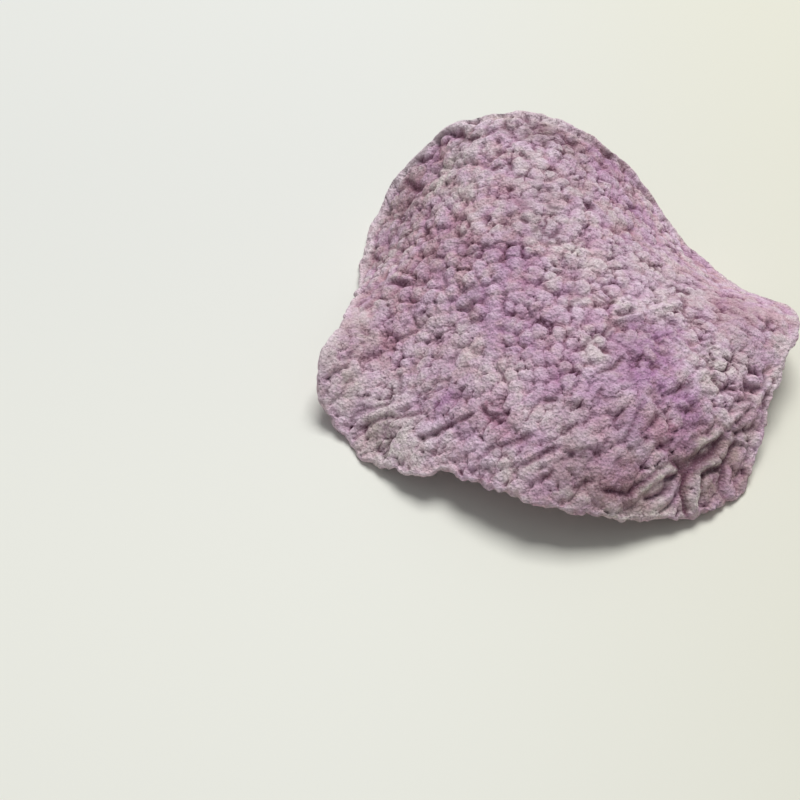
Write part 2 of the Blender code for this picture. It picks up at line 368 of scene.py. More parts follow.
# Ridges and big pebbles that the camera sees, listed in the same way: rise, half width and points.
RIGHT_RIDGES = (
    (0.7, 0.65, ((730, 426), (737, 415), (747, 403))),
    (0.7, 0.55, ((737, 429), (746, 420), (758, 412))),
    (0.8, 0.65, ((754, 407), (760, 396), (768, 384), (775, 372))),
    (0.7, 0.55, ((697, 447), (706, 443), (714, 438), (722, 433))),
    (0.6, 0.8, ((750, 381), (756, 380))),
    (0.6, 0.7, ((631, 442), (638, 436))),
    (0.6, 0.6, ((645, 447), (652, 446))),
    (0.6, 0.75, ((650, 404), (649, 414))),
    (0.5, 0.75, ((776, 368), (784, 352), (790, 338))),
)
CORNER_RIDGES = (
    (1.4, 0.5, ((696, 508), (696, 494), (696, 481), (698, 472), (707, 465), (719, 461))),
    (1.2, 0.5, ((633, 499), (640, 491), (648, 484), (658, 478), (669, 473), (678, 469))),
    (0.6, 0.5, ((663, 505), (672, 497), (675, 485))),
    (0.7, 0.6, ((663, 467), (673, 465))),
    (0.6, 0.45, ((681, 457), (685, 457))),
    (0.4, 0.5, ((712, 476), (713, 490))),
    (0.6, 0.45, ((729, 471), (727, 483), (731, 496))),
    (0.6, 0.6, ((749, 468), (752, 478), (746, 488))),
)
FOLD_RIDGES = (
    (0.9, 0.65, ((622, 308), (632, 306))),
    (0.6, 0.5, ((613, 317), (622, 320), (634, 317), (644, 313), (660, 308), (680, 304))),
    (0.8, 0.9, ((594, 358), (606, 358))),
)
LOW_RIDGES = (
    (0.4, 0.5, ((543, 472), (546, 472))),
    (0.4, 0.5, ((585, 454), (592, 453))),
    (0.5, 0.6, ((526, 461), (536, 455), (546, 447))),
    (0.5, 0.6, ((573, 447), (586, 443), (600, 439))),
    (0.5, 0.6, ((366, 418), (380, 413), (395, 407), (410, 403))),
    (0.4, 0.6, ((420, 434), (432, 428), (440, 424))),
    (0.4, 0.6, ((345, 405), (357, 401), (370, 401))),
    (0.4, 0.65, ((350, 389), (362, 383), (375, 380))),
    (0.3, 0.6, ((362, 436), (372, 430), (383, 425))),
)
TOP_RIDGES = (
    (0.8, 0.5, ((471, 125), (462, 126), (452, 128), (443, 133), (434, 137), (426, 142), (422, 149),
                (420, 157), (413, 162), (406, 168), (400, 176), (396, 184))),
    (0.4, 0.7, ((394, 190), (388, 200), (384, 210), (379, 220), (374, 230), (370, 240), (366, 252))),
    (0.5, 1.0, ((464, 151), (476, 151))),
    (0.6, 0.9, ((462, 214), (468, 213))),
    (0.4, 0.9, ((437, 246), (444, 246))),
    (0.6, 0.8, ((392, 204), (400, 203))),
    (0.6, 0.55, ((474, 127), (478, 127))),
    (0.6, 0.55, ((491, 127), (495, 127))),
    (0.6, 0.5, ((509, 126), (513, 126))),
    (0.5, 0.6, ((534, 119), (545, 121), (558, 126))),
    (0.5, 0.6, ((500, 137), (510, 140))),
    (0.5, 0.6, ((536, 137), (544, 137))),
    (0.5, 0.7, ((555, 196), (565, 194))),
)
RIDGES = RIGHT_RIDGES + CORNER_RIDGES + FOLD_RIDGES + LOW_RIDGES + TOP_RIDGES
CREASE_SHARE, RIDGE_SHARE = 0.45, 0.5
RIDGE_FULLNESS, RIDGE_PLAIN, RIDGE_HIGH = 0.8, 0.5, 0.4
TRACED_STRAY = 0.3
CREASE_BREAK = 3.0
TOP_STEPS = np.arange(30.0, -2.0, -0.1)

# The rim: a bead with a groove inside it, a lip where it is rolled over, a plain band beside it, its
# thin and rounded edge, and its wandering and ragged line.
BEADED = ((4.0, 29.0, 10.0, 1.0), (16.0, 26.0, 8.0, 0.9), (33.0, -7.0, 9.0, 0.5))
BEAD_WIDTH, BEAD_RISE = 0.6, 0.45
GROOVE_AT, GROOVE_WIDTH, GROOVE_DEPTH = 1.3, 0.45, 0.5
ROLLED_LIP = ((-14.0, 32.5, 3.5, 1.0), (-19.0, 32.5, 3.5, 1.0), (-23.5, 31.0, 3.5, 0.9),
              (-26.5, 27.0, 3.5, 0.7))
LIP_RISE = 0.45
WIDE_BAND = (-34.0, -4.0, 9.0, 1.4)
PLAIN_BAND, LIP_BAND, BEAD_BAND = 0.15, 0.3, 0.4
BAND_FROM, BAND_TO, BAND_RELIEF = 0.2, 1.3, 0.3
THIN_EDGE, THIN_WIDTH = 0.5, 2.2
TOP_FULLER, LIP_FULLER = 0.4, 0.8
FOOT = 0.3, 2.5
WALL_WIDTH, EDGE_ROUNDING = 0.3, 0.3
WANDER_LENGTH, WANDER = 5.0, 0.6
RAGGED, RAGGED_WIDTH = ((2.2, 0.45), (0.9, 0.25)), 1.2
EDGE_GRAIN, EDGE_GRAIN_RISE = 1.3, 0.4
FRONT_EDGE = 8.0, 18.0
# How much the front edge loses of the rim's pale tint, and how dark the painted shadow along the foot of
# its wall is.
FRONT_DULL, FRONT_EDGE_SHADOW = 0.8, 0.6
# Widths of the rim's and the lip's pale tints, which are partly paler flesh and partly painted highlight.
RIM_TINT, RIM_TINT_WIDE, RIM_TINT_BEADED, LIP_TINT = 0.5, 0.8, 0.3, 1.1
NOTCH = (-12.0, 31.0, 1.1, 1.2)
MEAN_REACH = 36.0

# Tinted patches in the flesh: the column and row where the camera sees the middle of each, then its
# radius and strength.
CREAM = (
    (448, 165, 2.2, 1.0), (440, 185, 2.2, 0.8), (462, 190, 2.0, 0.6), (470, 212, 1.5, 0.5),
    (575, 245, 3.0, 0.6), (590, 262, 2.5, 0.5), (460, 335, 2.2, 0.7), (478, 356, 2.5, 0.7),
    (495, 385, 3.0, 0.6), (600, 358, 2.0, 1.0), (627, 307, 1.6, 1.0), (664, 303, 2.5, 0.8),
    (668, 272, 2.5, 0.6), (722, 365, 2.5, 0.8), (710, 385, 2.5, 0.5), (560, 422, 3.0, 0.7),
    (508, 474, 2.2, 0.6), (385, 460, 3.0, 0.5), (420, 465, 2.5, 0.6), (620, 512, 3.0, 0.7),
    (655, 515, 2.5, 0.5), (345, 375, 2.0, 0.5), (697, 480, 1.0, 0.8), (330, 345, 2.0, 0.6),
    (500, 112, 2.5, 0.6), (520, 120, 2.0, 0.5), (527, 168, 1.5, 0.6), (395, 262, 1.5, 0.6),
    (430, 330, 2.0, 0.5), (586, 215, 1.5, 0.5), (380, 430, 3.5, 0.8), (345, 402, 3.0, 0.6),
    (405, 445, 3.0, 0.5), (382, 400, 2.5, 0.4), (620, 400, 2.0, 0.4), (660, 312, 2.0, 0.4),
)
VIOLET = (
    (612, 170, 3.0, 0.8), (640, 215, 3.0, 0.7), (655, 240, 2.5, 0.4), (575, 290, 2.0, 0.6),
    (520, 285, 2.5, 0.7), (505, 262, 2.2, 0.8), (480, 300, 2.5, 0.7), (455, 300, 2.0, 0.5),
    (500, 330, 3.0, 0.8), (545, 320, 3.0, 0.5), (530, 350, 3.0, 0.7), (570, 370, 3.0, 0.6),
    (640, 335, 3.0, 0.9), (670, 330, 2.5, 0.9), (655, 360, 3.5, 0.9), (625, 370, 2.5, 0.7),
    (690, 400, 2.5, 0.9), (690, 430, 2.5, 1.0), (660, 385, 2.5, 0.7), (635, 425, 2.0, 0.8),
    (600, 395, 3.0, 0.6), (560, 390, 2.5, 0.5), (435, 405, 2.2, 0.9), (455, 395, 2.5, 0.6),
    (510, 440, 2.2, 0.8), (470, 430, 2.2, 0.5), (360, 410, 1.5, 0.6), (680, 450, 2.0, 0.7),
    (540, 440, 2.0, 0.5), (395, 235, 1.5, 0.6), (415, 312, 1.5, 0.6), (515, 248, 1.5, 0.6),
)
ROSE = (
    (500, 196, 2.0, 0.8), (520, 200, 1.2, 0.8), (462, 218, 2.0, 0.8), (475, 245, 2.2, 0.9),
    (430, 215, 2.5, 0.6), (440, 240, 2.5, 0.5), (410, 200, 2.0, 0.7), (405, 290, 3.0, 0.5),
    (420, 255, 2.5, 0.5), (523, 290, 1.5, 0.5), (490, 412, 1.5, 1.0), (500, 425, 2.0, 0.7),
    (615, 487, 2.5, 1.0), (635, 490, 2.0, 0.8), (672, 438, 2.0, 0.9), (665, 425, 2.0, 0.7),
    (600, 420, 2.2, 0.4), (440, 350, 1.5, 0.7), (380, 350, 3.0, 0.5), (400, 330, 3.0, 0.5),
    (740, 310, 4.0, 0.5), (720, 300, 3.0, 0.4), (735, 480, 2.0, 0.7), (560, 480, 2.5, 0.5),
    (615, 455, 2.5, 0.4), (745, 405, 2.5, 0.6), (572, 340, 2.0, 0.4), (500, 400, 2.5, 0.5),
    (588, 240, 1.5, 0.6), (425, 275, 2.0, 0.7), (550, 365, 2.5, 0.4), (412, 186, 1.0, 1.0),
)
TAN = (
    (362, 340, 2.8, 0.8), (372, 435, 2.0, 0.6), (360, 445, 2.0, 0.4), (396, 203, 1.8, 0.7),
    (388, 212, 1.5, 0.6), (708, 457, 2.5, 1.0), (735, 445, 2.5, 0.8), (600, 500, 3.0, 0.5),
    (640, 500, 2.5, 0.6), (700, 475, 2.5, 0.9), (735, 470, 2.5, 0.7), (575, 468, 2.0, 0.4),
    (520, 490, 3.0, 0.4), (350, 380, 2.0, 0.5), (545, 130, 2.0, 0.6),
)
# Painted shade: darker patches where the sheet turns away from the light, on the left flank, at the lower
# right and near the top rim.
PAINTED_SHADE_PATCHES = (
    (640, 500, 5.0, 0.8), (700, 490, 5.0, 0.9), (600, 495, 4.0, 0.7), (565, 495, 4.0, 0.6),
    (405, 190, 3.5, 0.8), (410, 205, 4.0, 0.7), (400, 230, 4.0, 0.7), (385, 255, 4.0, 0.6),
    (385, 290, 4.0, 0.6), (700, 430, 3.0, 0.4), (545, 133, 2.2, 0.9), (570, 145, 2.2, 0.7),
    (600, 160, 2.0, 0.4), (740, 310, 3.0, 0.6), (620, 222, 2.5, 0.4), (430, 250, 4.0, 0.5),
    (620, 340, 3.0, 0.4), (625, 430, 2.5, 0.4), (440, 300, 3.0, 0.3), (460, 400, 2.5, 0.4),
    (515, 225, 4.0, 0.3), (540, 235, 2.0, 0.3), (535, 132, 2.5, 0.4), (583, 162, 2.5, 0.5),
    (580, 190, 3.0, 0.4), (622, 220, 2.5, 0.3), (460, 192, 2.5, 0.4), (460, 222, 2.5, 0.3),
    (460, 250, 2.5, 0.4), (420, 220, 2.5, 0.3), (380, 252, 2.5, 0.4), (378, 310, 2.5, 0.4),
    (580, 430, 2.5, 0.5), (580, 462, 2.5, 0.5), (740, 460, 2.5, 0.5), (580, 490, 2.5, 0.4),
    (580, 295, 3.0, 0.3), (740, 340, 2.5, 0.4), (700, 370, 2.0, 0.3), (420, 385, 3.0, 0.3),
    (375, 262, 2.5, 0.4), (376, 285, 2.5, 0.3), (460, 372, 2.0, 0.3), (420, 368, 2.5, 0.3),
    (500, 250, 3.0, 0.3), (540, 215, 3.0, 0.3), (505, 220, 3.0, 0.2), (380, 368, 2.5, 0.3),
)
GREY = (
    (580, 160, 3.0, 0.8), (545, 190, 3.0, 0.7), (585, 190, 3.0, 0.7), (660, 250, 3.0, 0.6),
    (620, 260, 4.0, 0.6), (660, 280, 3.0, 0.6), (700, 290, 4.0, 0.9), (740, 340, 2.5, 0.8),
    (500, 130, 2.5, 0.9), (540, 130, 2.5, 0.9), (520, 165, 3.0, 0.5), (500, 190, 2.0, 0.4),
    (380, 400, 3.0, 0.5), (420, 345, 3.0, 0.5), (700, 320, 3.0, 0.6), (540, 225, 3.0, 0.4),
    (440, 370, 3.0, 0.4), (560, 310, 2.5, 0.3), (530, 200, 5.0, 0.5), (640, 250, 3.0, 0.4),
    (700, 275, 3.0, 0.5), (740, 320, 3.0, 0.4), (660, 320, 2.5, 0.4), (453, 165, 2.5, 0.8),
    (462, 186, 3.0, 0.6),
)
# Paler flesh, and partly painted light: the shelf that faces up into the light, and the lower left,
# brightened as if by bounce light.
PALE = (
    (365, 430, 6.0, 1.0), (400, 425, 6.0, 1.0), (440, 455, 6.0, 1.0), (480, 460, 6.0, 0.8),
    (350, 395, 5.0, 1.0), (430, 315, 3.0, 0.8), (375, 340, 3.0, 0.6), (495, 310, 3.0, 0.4),
    (460, 370, 3.0, 0.4), (650, 315, 2.5, 0.6), (500, 380, 3.0, 0.4), (590, 385, 2.5, 0.5),
    (735, 425, 2.5, 0.4), (455, 160, 2.5, 0.5), (545, 205, 2.5, 0.4), (540, 340, 2.5, 0.6),
    (620, 400, 2.5, 0.8), (580, 340, 2.0, 0.5), (660, 310, 2.5, 0.5), (380, 428, 3.0, 1.0),
    (425, 310, 2.5, 0.6), (460, 312, 2.5, 0.5), (540, 308, 2.5, 0.6), (540, 368, 2.5, 0.7),
    (660, 400, 2.5, 0.5), (460, 158, 2.5, 0.5), (740, 400, 2.5, 0.4), (745, 430, 2.0, 0.5),
    (560, 430, 6.0, 0.6), (600, 460, 6.0, 0.4), (660, 290, 5.0, 0.6),
    (620, 280, 5.0, 0.5), (575, 270, 5.0, 0.5), (720, 350, 4.0, 0.5), (540, 160, 4.0, 0.3),
    (470, 152, 3.0, 0.6), (620, 400, 3.0, 0.4), (740, 370, 3.0, 0.5), (600, 405, 2.5, 0.4),
    (560, 195, 3.0, 0.3),
)
TINTS = {"pale": PALE, "grey": GREY, "cream": CREAM, "violet": VIOLET, "rose": ROSE, "tan": TAN,
         "painted_shade": PAINTED_SHADE_PATCHES}

# Tinted streaks, listed as the creases are: strength, half width and the picture's points.
STREAKS = {
    # Partly paler flesh, partly painted highlight: the rolled lip, the rim bead and the lit edge bands.
    "lip": (
        (0.9, 0.6, ((474, 125), (462, 126), (452, 128), (443, 133), (434, 137), (426, 142), (421, 151),
                    (413, 162), (405, 171), (397, 184))),
        (0.5, 0.7, ((394, 190), (388, 200), (379, 220), (370, 240), (365, 256))),
        (0.55, 0.8, ((365, 256), (360, 278), (350, 302), (338, 325), (326, 345))),
        (0.55, 0.5, ((482, 115), (500, 112), (520, 113), (540, 117), (560, 124), (580, 134))),
        (0.55, 0.5, ((797, 332), (790, 350), (781, 372), (771, 395), (765, 410))),
    ),
    # Painted shade: the valley at the lower right, along the top bead, under the rolled lip and across the
    # left flank.
    "painted_shade": (
        (0.9, 0.9, ((640, 494), (655, 482), (670, 470), (690, 462), (708, 456), (722, 446), (735, 438))),
        (0.7, 0.7, ((600, 496), (618, 500), (634, 501))),
        (0.9, 0.6, ((688, 475), (685, 490), (687, 512))),
        (0.8, 0.6, ((722, 472), (721, 490))),
        (0.7, 0.5, ((701, 488), (701, 476))),
        (0.5, 0.6, ((655, 499), (667, 492))),
        (0.8, 0.7, ((500, 129), (520, 132), (540, 127), (560, 134), (580, 145))),
        (0.6, 0.8, ((460, 134), (474, 139))),
        (0.7, 1.0, ((392, 282), (420, 282))),
    ),
    "crest": (
        (1.0, 0.55, ((697, 510), (697, 492), (698, 478), (706, 468), (718, 463))),
        (1.0, 0.5, ((641, 492), (650, 484), (662, 476), (676, 470))),
        (0.9, 0.5, ((650, 470), (660, 466), (672, 466))),
        (0.8, 0.5, ((700, 447), (710, 441), (720, 436))),
        (0.5, 0.4, ((640, 500), (655, 504), (670, 498))),
        (0.5, 0.4, ((560, 492), (575, 497), (590, 500))),
        (0.9, 0.6, ((612, 512), (625, 517), (645, 516), (665, 513), (680, 514))),
    ),
    "tan": (
        (1.0, 1.1, ((640, 494), (655, 482), (670, 470), (690, 462), (708, 456), (722, 446), (735, 438))),
        (0.9, 0.8, ((688, 475), (685, 490), (687, 512))),
        (0.8, 0.7, ((722, 472), (721, 490))),
        (0.8, 1.2, ((735, 452), (745, 440), (752, 430), (756, 420))),
        (0.6, 0.7, ((482, 119), (510, 116), (540, 120), (570, 131), (592, 142))),
    ),
    "violet": (
        (0.9, 0.45, ((627, 437), (633, 426), (638, 414), (642, 402))),
        (0.7, 0.5, ((672, 408), (698, 409))),
    ),
    "rose": (
        (0.9, 0.35, ((478, 407), (490, 412), (503, 411))),
        (0.7, 0.6, ((452, 216), (466, 222), (470, 236), (480, 246))),
        (0.7, 0.5, ((424, 228), (430, 236), (428, 246))),
        (0.7, 0.5, ((496, 194), (510, 192), (522, 203))),
        (0.6, 0.6, ((410, 272), (424, 272), (438, 270))),
    ),
}

# The flesh's colours.
LILAC = (0.735, 0.47, 0.64, 1.0)
DUSTY_ROSE = (0.75, 0.5, 0.56, 1.0)
DEEP_LILAC = (0.51, 0.265, 0.4, 1.0)
DEEP_ROSE = (0.51, 0.255, 0.32, 1.0)
PALE_LILAC = (0.94, 0.735, 0.875, 1.0)
GREY_LILAC = (0.89, 0.765, 0.785, 1.0)
CREAM_COLOUR = (0.92, 0.85, 0.78, 1.0)
VIOLET_COLOUR = (0.51, 0.24, 0.47, 1.0)
ROSE_COLOUR = (0.56, 0.24, 0.35, 1.0)
TAN_COLOUR = (0.56, 0.44, 0.385, 1.0)
GREY_COLOUR = (0.68, 0.56, 0.6, 1.0)
# The painted shade's colour.
PAINTED_SHADE_COLOUR = (0.31, 0.195, 0.2, 1.0)
# The dark colour of gaps, pits, creases and specks: partly the flesh's own, partly painted shade.
DARK_FLESH_AND_SHADE = (0.15, 0.055, 0.09, 1.0)
# The pale rim and lip: partly paler flesh, partly painted highlight where they catch the light.
PALE_RIM_AND_HIGHLIGHT = (0.8, 0.69, 0.7, 1.0)
PALE_LIP_AND_HIGHLIGHT = (0.98, 0.84, 0.89, 1.0)

# What each tint turns the flesh to, and how far it does so at most, in the order they are laid on.
TINT_COLOURS = (
    ("pale", PALE_LILAC, 0.6),
    ("grey", GREY_COLOUR, 0.7),
    ("cream", CREAM_COLOUR, 0.8),
    ("violet", VIOLET_COLOUR, 0.8),
    ("rose", ROSE_COLOUR, 0.75),
    ("tan", TAN_COLOUR, 0.75),
    ("painted_shade", PAINTED_SHADE_COLOUR, 0.5),
    ("crest", CREAM_COLOUR, 0.85),
)

# The flesh's fine patterns, as swings to the metre, and how deep the finest of them are.
CLOUDS, HUES, MOTTLE, SPECKS, PORES_AND_GLINTS = 210, 300, 640, 1700, 3600
FINE_PEBBLES, FINE_GRAIN = 2100, 3800
FINE_DEPTH = 0.00018
FLESH_ROUGHNESS, FLESH_SHINE = 0.9, 0.2

# The camera: it looks down at the slice, which sits up and to the right in its frame.
CAMERA_PLACE = (-0.0236, -0.1374, 0.1523)
CAMERA_TILT = 40.0
CAMERA_LENS = 60.0
SENSOR_WIDTH = 36.0
NEAREST_SEEN = 0.01

# The floor, whose colour changes a little from back to front, lighter in front as painted light, and from
# left to right; and the light.
FLOOR_REACH = 3.0
BACK_FLOOR = (0.82, 0.825, 0.775, 1.0)
FRONT_FLOOR = (0.88, 0.88, 0.8, 1.0)
RIGHT_FLOOR = (0.805, 0.795, 0.675, 1.0)
BACK_TO_FRONT = 0.05, -0.06
LEFT_TO_RIGHT = -0.04, 0.06
FLOOR_ROUGHNESS = 0.8
SKY_COLOUR = (0.93, 0.96, 1.0, 1.0)
SKY_STRENGTH = 0.25
WINDOW_PLACE = (0.1, 0.48, 1.13)
WINDOW_SIZE, WINDOW_POWER = 0.6, 12.7

CURVE_STEPS = 24
SLOPE_STEP = 0.05


def curve_through(points):
    """A closed smooth curve through the points, as a fine list of places on it."""
    places = []
    count = len(points)
    for index in range(count):
        before, here, after, beyond = (points[(index + step) % count] for step in (-1, 0, 1, 2))
        for step in range(CURVE_STEPS):
            t = step / CURVE_STEPS
            places.append(
                0.5 * (2 * here + (after - before) * t
                       + (2 * before - 5 * here + 4 * after - beyond) * t ** 2
                       + (3 * here - before - 3 * after + beyond) * t ** 3)
            )
    return np.array(places)


def bend_energy(distance):
    """The thin plate's kernel, r² log r."""
    safe = np.maximum(distance, 1e-9)
    return safe ** 2 * np.log(safe)


class Sheet:
    """The middle surface of the slice: its outline seen from above and its height at any place."""

    def __init__(self):
        rim = np.array(RIM)
        self.places = np.vstack([rim, np.array(CROWN)])
        self.solve_heights()
        outline = curve_through(rim[:, :2])
        angle = np.arctan2(outline[:, 1], outline[:, 0])
        order = np.argsort(angle)
        self.angle = angle[order]
        self.radius = np.hypot(outline[:, 0], outline[:, 1])[order]

    def solve_heights(self):
        """Finds the thin plate that passes through every place of the rim and the crown."""
        flat = self.places[:, :2]
        count = len(flat)
        system = np.zeros((count + 3, count + 3))
        apart = np.linalg.norm(flat[:, None] - flat[None], axis=2)
        system[:count, :count] = bend_energy(apart)
        system[:count, count] = 1
        system[:count, count + 1:] = flat
        system[count:, :count] = system[:count, count:].T
        wanted = np.concatenate([self.places[:, 2], np.zeros(3)])
        self.weights = np.linalg.solve(system, wanted)

    def height(self, x, y):
        total = self.weights[-3] + self.weights[-2] * x + self.weights[-1] * y
        for place, weight in zip(self.places, self.weights):
            total = total + weight * bend_energy(np.hypot(x - place[0], y - place[1]))
        return total

    def reach(self, angle):
        """How far the outline is from the middle of the slice in each direction."""
        return np.interp(angle, self.angle, self.radius, period=2 * math.pi)

    def normal(self, x, y):
        along = self.height(x + SLOPE_STEP, y) - self.height(x - SLOPE_STEP, y)
        away = self.height(x, y + SLOPE_STEP) - self.height(x, y - SLOPE_STEP)
        up = np.stack([-along, -away, np.full_like(x, 2 * SLOPE_STEP)], axis=1)
        return up / np.linalg.norm(up, axis=1)[:, None]


def fade(distance, width):
    """One at no distance, falling away smoothly over the width."""
    return np.exp(-(distance / width) ** 2)


def smooth_step(value, low, high):
    """Rises smoothly from 0 at the low value to 1 at the high one."""
    share = np.clip((value - low) / (high - low), 0.0, 1.0)
    return share * share * (3 - 2 * share)


def no_less(low, share):
    """A share from 0 to 1, drawn in to run from the low value to 1."""
    return low + (1 - low) * share


def near_spot(x, y, spot):
    """The last value of a spot (x, y, radius, value), faded with the distance from it."""
    return spot[3] * fade(np.hypot(x - spot[0], y - spot[1]), spot[2])


def most_of(x, y, spots):
    """The strongest of several spots (x, y, radius, value) at each place."""
    return np.max([near_spot(x, y, spot) for spot in spots], axis=0)


def distance_to_line(x, y, line):
    """How far each place is from a line of straight runs, seen from above."""
    nearest = np.full(len(x), np.inf)
    for (x0, y0), (x1, y1) in zip(line, line[1:]):
        along = np.clip(((x - x0) * (x1 - x0) + (y - y0) * (y1 - y0))
                        / ((x1 - x0) ** 2 + (y1 - y0) ** 2), 0.0, 1.0)
        nearest = np.minimum(nearest, np.hypot(x - x0 - along * (x1 - x0), y - y0 - along * (y1 - y0)))
    return nearest


def drift(places, length):
    """Smooth noise from -1 to 1 whose swings are about the length across."""
    return np.array([noise.noise(Vector(place)) for place in places / length])


def stray(places, length, amount):
    """The places, each moved a little to one side, so that what is drawn on them has uneven borders."""
    moves = [noise.noise_vector(Vector(place)) for place in places / length]
    return places + amount * np.array(moves)


def cells(places, width):
    """Packs grains of about that width: the nearest four middles to each place, and a tone a grain."""
    found = [noise.voronoi(Vector(place)) for place in places / width]
    distances = np.array([each for each, _ in found])
    middle = np.array([points[0] for _, points in found])
    tone = np.abs(np.sin(middle @ np.array(TONE_MIX)) * TONE_SPREAD) % 1.0
    return distances, tone


def domes(distances, parted):
    """Full tops that run into one another where parted is low and meet in a sharp line where high."""
    shares = np.exp(-parted[:, None] * distances ** 2)
    below = np.maximum(-np.log(shares.sum(axis=1)) / parted, 0.0) / TOP_SHARE
    return 1 - TOP_SHARE * below ** TOP_POWER


def even_domes(places, width, parted):
    """Domes that are parted alike everywhere, about their own mean."""
    return domes(cells(places, width)[0], np.full(len(places), parted)) - DOME_MEAN


def grain_layer(places, width, parted):
    """One layer of grains: height, closeness to a gap, closeness to a hole where three meet, and tone."""
    distances, tone = cells(places, width)
    gap = np.exp(-(distances[:, 1] - distances[:, 0]) / GAP_SPREAD)
    hole = fade(distances[:, 2] - distances[:, 0], PIT_SPREAD) * (tone > PIT_SHARE)
    return domes(distances, parted), gap, hole, tone


def grained(bent, places, width, parted):
    """A layer of grains that is drawn out to folds in some places."""
    height, gap, hole, tone = grain_layer(bent, width, parted)
    uneven = FOLD_UNEVEN * drift(places + FOLD_SHIFT, FOLD_LENGTH)
    for degrees, narrow, spots in FOLDS:
        share = smooth_step(most_of(places[:, 0], places[:, 1], spots) + uneven, *FOLD_BORDER)
        near = share > 0.0
        turn = math.radians(degrees)
        along = np.array((math.cos(turn), math.sin(turn), 0.0))
        drawn = bent[near] - (1 - narrow) * (bent[near] @ along)[:, None] * along
        sharp = np.maximum(parted[near], FOLD_PARTED)
        # Each direction is shifted by its own degrees, so that no two of them share their grains.
        found = grain_layer(drawn + degrees, width * FOLD_FINENESS, sharp)
        for field, new in zip((height, gap, hole), found):
            field[near] += share[near] * (new - field[near])
    return height, gap, hole, tone


def seen_on_top(sheet, column, row):
    """The place on the sheet's middle, from above, under what the camera sees at a point of its picture."""
    half_view = SENSOR_WIDTH / 2 / CAMERA_LENS
    right = (2 * column / PICTURE_SIZE - 1) * half_view
    up = (1 - 2 * row / PICTURE_SIZE) * half_view
    tilt = math.radians(CAMERA_TILT)
    ray = np.array((right, up * math.cos(tilt) + math.sin(tilt), up * math.sin(tilt) - math.cos(tilt)))
    eye = np.array(CAMERA_PLACE) / MM
    places = eye + ((TOP_STEPS - eye[2]) / ray[2])[:, None] * ray
    normals = sheet.normal(places[:, 0], places[:, 1])
    top = sheet.height(places[:, 0], places[:, 1]) + THICKNESS / 2 / normals[:, 2]
    first = np.argmax(TOP_STEPS < top)
    return places[first, :2] - normals[first, :2] * THICKNESS / 2


def traced(sheet, lines):
    """Carries lines from the camera's picture to the slice."""
    return [(size, width, [seen_on_top(sheet, *point) for point in line]) for size, width, line in lines]


def crease_field(bent, creases):
    """How far the creases sink the flesh, and where they are dark, partly their own colour and partly
    painted shade.
    """
    sink, dark = np.zeros(len(bent)), np.zeros(len(bent))
    depth_share = no_less(0.5, smooth_step(drift(bent + CREASE_SHIFT, CREASE_BREAK), -0.6, -0.1))
    for depth, width, line in creases:
        inside = fade(distance_to_line(bent[:, 0], bent[:, 1], line), width)
        sink = np.maximum(sink, CREASE_SHARE * depth * inside)
        dark = np.maximum(dark, min(depth, 1.0) * inside)
    return sink * depth_share, dark * depth_share


def ridge_field(bent, ridges):
    """How far the ridges raise the flesh, and how much of a place belongs to one."""
    rise, share = np.zeros(len(bent)), np.zeros(len(bent))
    for height, width, line in ridges:
        away = distance_to_line(bent[:, 0], bent[:, 1], line) / width
        inside = np.clip(1 - away ** 2, 0.0, 1.0) ** RIDGE_FULLNESS
        rise = np.maximum(rise, RIDGE_SHARE * height * inside)
        share = np.maximum(share, inside)
    return rise, share


def tint(sheet, places, patches):
    """How strongly one tint's patches show at each place, with soft and ragged borders."""
    for length, amount in TINT_STRAY:
        places = stray(places, length, amount)
    total = np.zeros(len(places))
    for column, row, radius, strength in patches:
        x, y = seen_on_top(sheet, column, row)
        total += strength * fade(np.hypot(places[:, 0] - x, places[:, 1] - y), radius)
    return np.minimum(total, 1.0)


def streak(sheet, places, lines):
    """How strongly one tint's streaks show at each place."""
    ragged = stray(places, *STREAK_STRAY)
    total = np.zeros(len(places))
    for strength, width, line in traced(sheet, lines):
        away = distance_to_line(ragged[:, 0], ragged[:, 1], line)
        total = np.maximum(total, strength * fade(away, width))
    return total


def disc_from_square(s, t):
    """Carries the square's points to a round disc of even cells: ring from 0 to 1, and angle."""
    wide = np.abs(s) >= np.abs(t)
    ring = np.where(wide, np.abs(s), np.abs(t))
    safe = np.where(ring > 0, ring, 1.0)
    across = np.where(wide, t / safe * np.sign(s), s / safe * np.sign(t))
    flat_angle = np.where(s >= 0, 0.0, math.pi) + across * math.pi / 4
    tall_angle = np.where(t >= 0, math.pi / 2, -math.pi / 2) - across * math.pi / 4
    return ring, np.where(wide, flat_angle, tall_angle)


